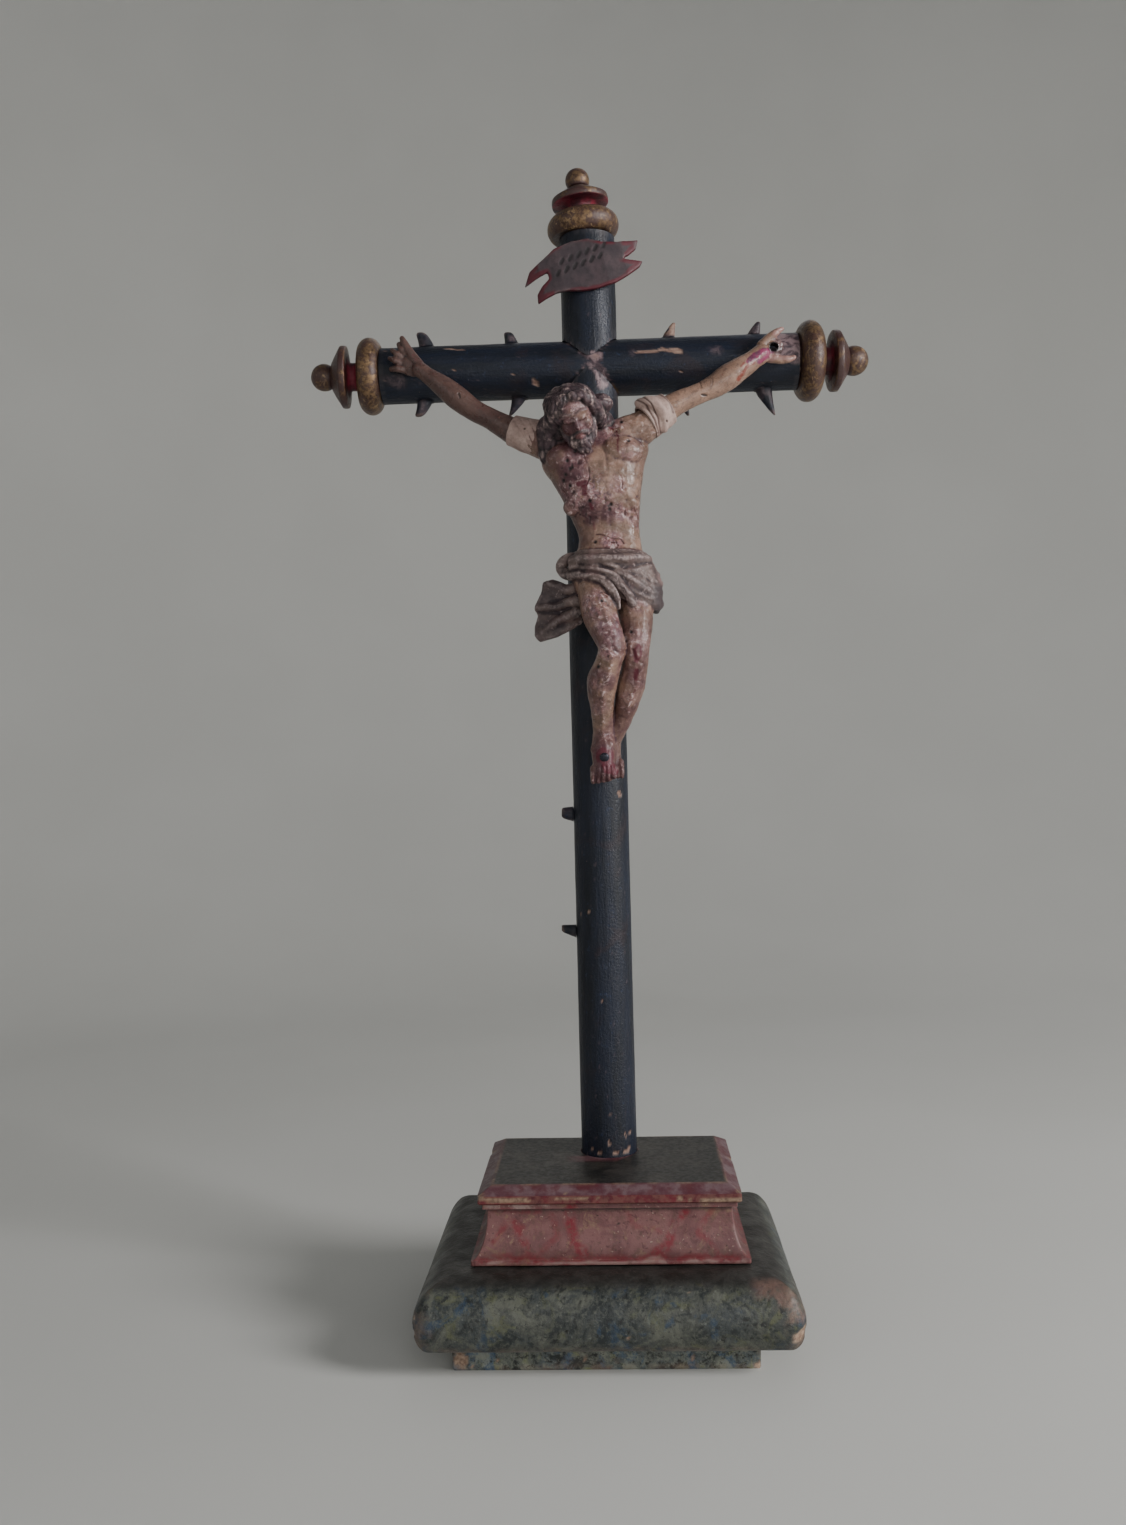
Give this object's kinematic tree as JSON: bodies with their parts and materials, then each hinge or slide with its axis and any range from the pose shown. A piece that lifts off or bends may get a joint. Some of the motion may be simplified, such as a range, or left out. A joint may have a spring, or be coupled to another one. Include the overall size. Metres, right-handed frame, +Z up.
{
  "type": "standing crucifix",
  "caption": "Carved and painted wooden crucifix with a hanging figure, a cross of round logs with thorn stubs and gilded turned ends, and a stepped, marbled base.",
  "frame": {"origin": "middle of the foot board's underside, on the surface it stands on, under the middle of the base", "axes": "+Z up along the upright, -Y towards the viewer whom the figure faces, +X to the viewer's right along the crossbeam"},
  "size_m": [0.3464, 0.176, 0.7054],
  "materials": {
    "marbled_green": "worn marbled paint over wood",
    "marbled_pink": "worn pink marbled paint over wood",
    "crimson": "dark crimson paint over wood, rubbed edges",
    "log_blue_black": "blue-black satin paint over wood, chipped",
    "old_gilding": "worn gilding over turned wood",
    "title_mauve": "matt mauve paint over wood",
    "old_flesh": "aged, cracked flesh paint with a half gloss over carved wood",
    "pale_band": "pale glued repair band",
    "nail_iron": "dark iron"
  },
  "bodies": {
    "root": {"foot_board": "marbled_green", "base_plinth": "marbled_green", "base_block": "marbled_pink", "base_cap": "crimson", "upright": "log_blue_black", "crossbeam": "log_blue_black", "finial_top": "old_gilding", "finial_left": "old_gilding", "finial_right": "old_gilding", "thorn_beam_1": "log_blue_black", "thorn_beam_2": "log_blue_black", "thorn_beam_3": "log_blue_black", "thorn_beam_4": "log_blue_black", "thorn_beam_5": "log_blue_black", "thorn_beam_6": "log_blue_black", "thorn_beam_7": "log_blue_black", "thorn_beam_8": "log_blue_black", "thorn_upright_1": "log_blue_black", "thorn_upright_2": "log_blue_black", "title_scroll": "title_mauve", "corpus_body": "old_flesh", "corpus_arm_left": "old_flesh", "corpus_arm_right": "old_flesh", "shoulder_band_left": "pale_band", "shoulder_wrap_right": "pale_band", "foot_nail": "nail_iron"}
  },
  "joints": []
}
